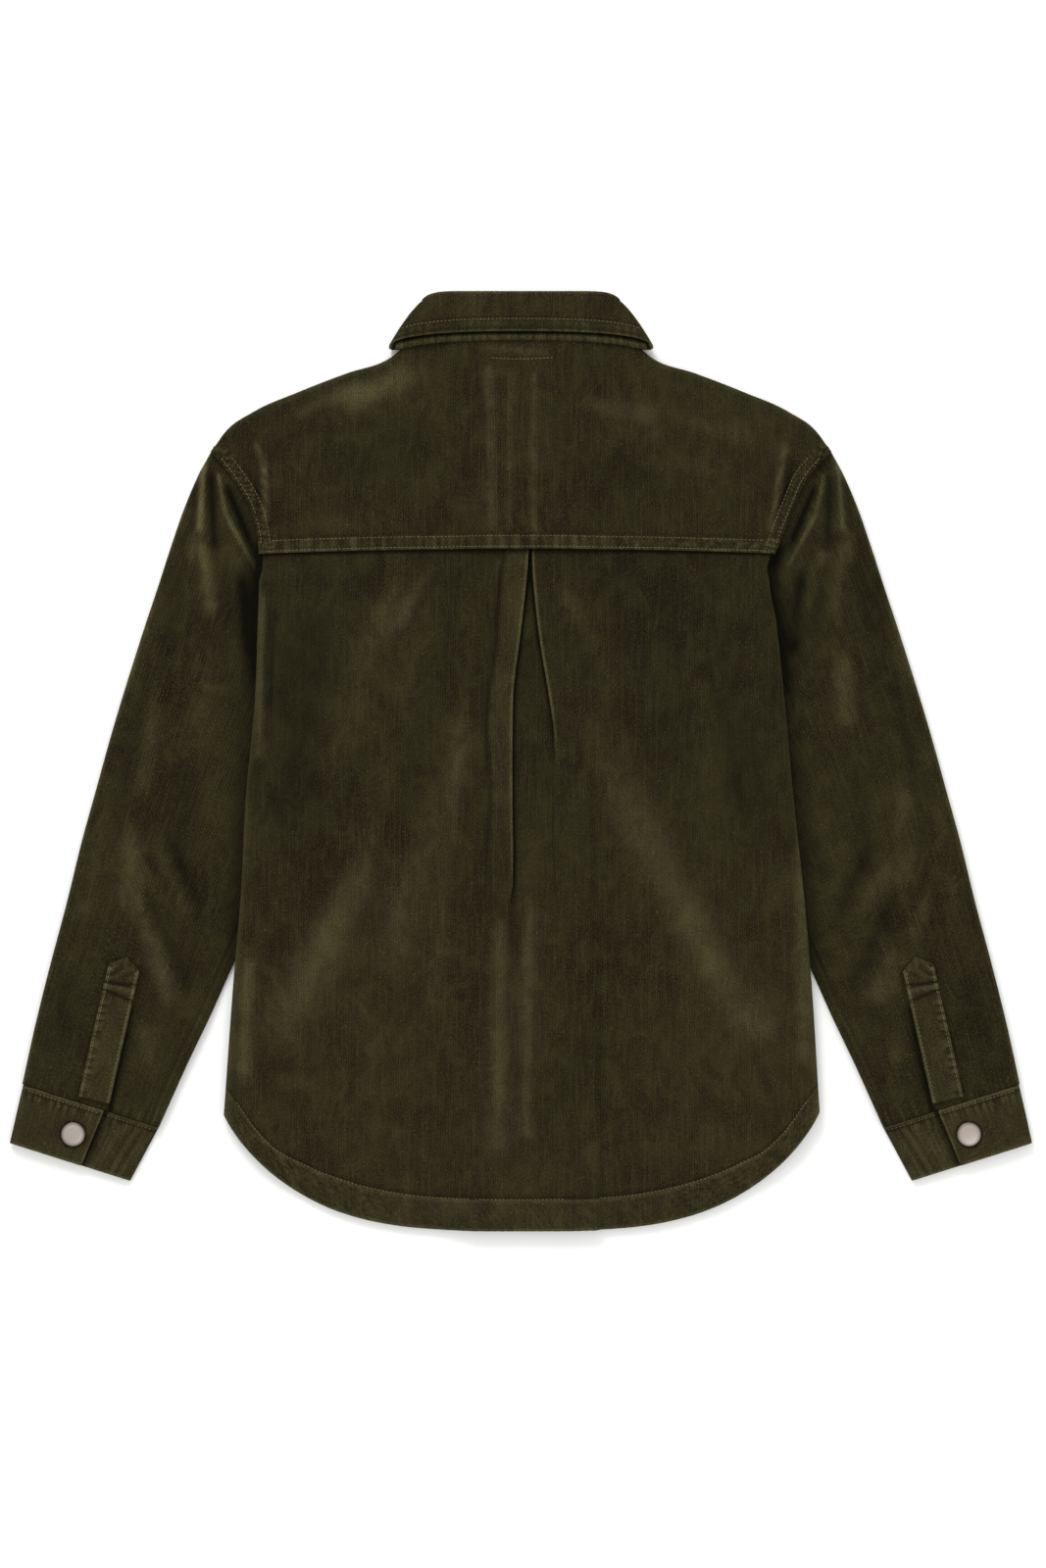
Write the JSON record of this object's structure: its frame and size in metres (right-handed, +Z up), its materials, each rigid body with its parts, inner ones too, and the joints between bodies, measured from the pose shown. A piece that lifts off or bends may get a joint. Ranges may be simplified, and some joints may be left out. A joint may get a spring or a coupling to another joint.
{
  "type": "corduroy jacket",
  "caption": "Corduroy overshirt jacket laid flat with its back up, with a turned-down collar, back yoke, inverted pleat, shirt-tail hem and snap cuffs.",
  "frame": {"origin": "on the surface that the garment lies on, under the middle of its box", "axes": "+Z up from the surface, towards the back of the jacket; +Y towards the collar; +X towards the wearer's right sleeve, across the cuffs"},
  "size_m": [0.7812, 0.7174, 0.0156],
  "materials": {
    "corduroy": "fine-wale cotton corduroy, dark olive brown, soft nap with a pale sheen on the ridges",
    "snap_metal": "satin nickel-plated snap caps, slightly domed"
  },
  "bodies": {
    "root": {"back_panel": "corduroy", "back_yoke": "corduroy", "front_left": "corduroy", "front_right": "corduroy", "sleeve_left": "corduroy", "sleeve_right": "corduroy", "front_placket": "corduroy", "sleeve_placket_left": "corduroy", "sleeve_placket_right": "corduroy", "cuff_left": "corduroy", "cuff_right": "corduroy", "collar_stand": "corduroy", "collar_fall": "corduroy", "cuff_snap_left": "snap_metal", "cuff_snap_right": "snap_metal", "front_snap_1": "snap_metal", "front_snap_2": "snap_metal", "front_snap_3": "snap_metal", "front_snap_4": "snap_metal", "front_snap_5": "snap_metal", "front_snap_6": "snap_metal", "front_snap_7": "snap_metal"}
  },
  "joints": []
}
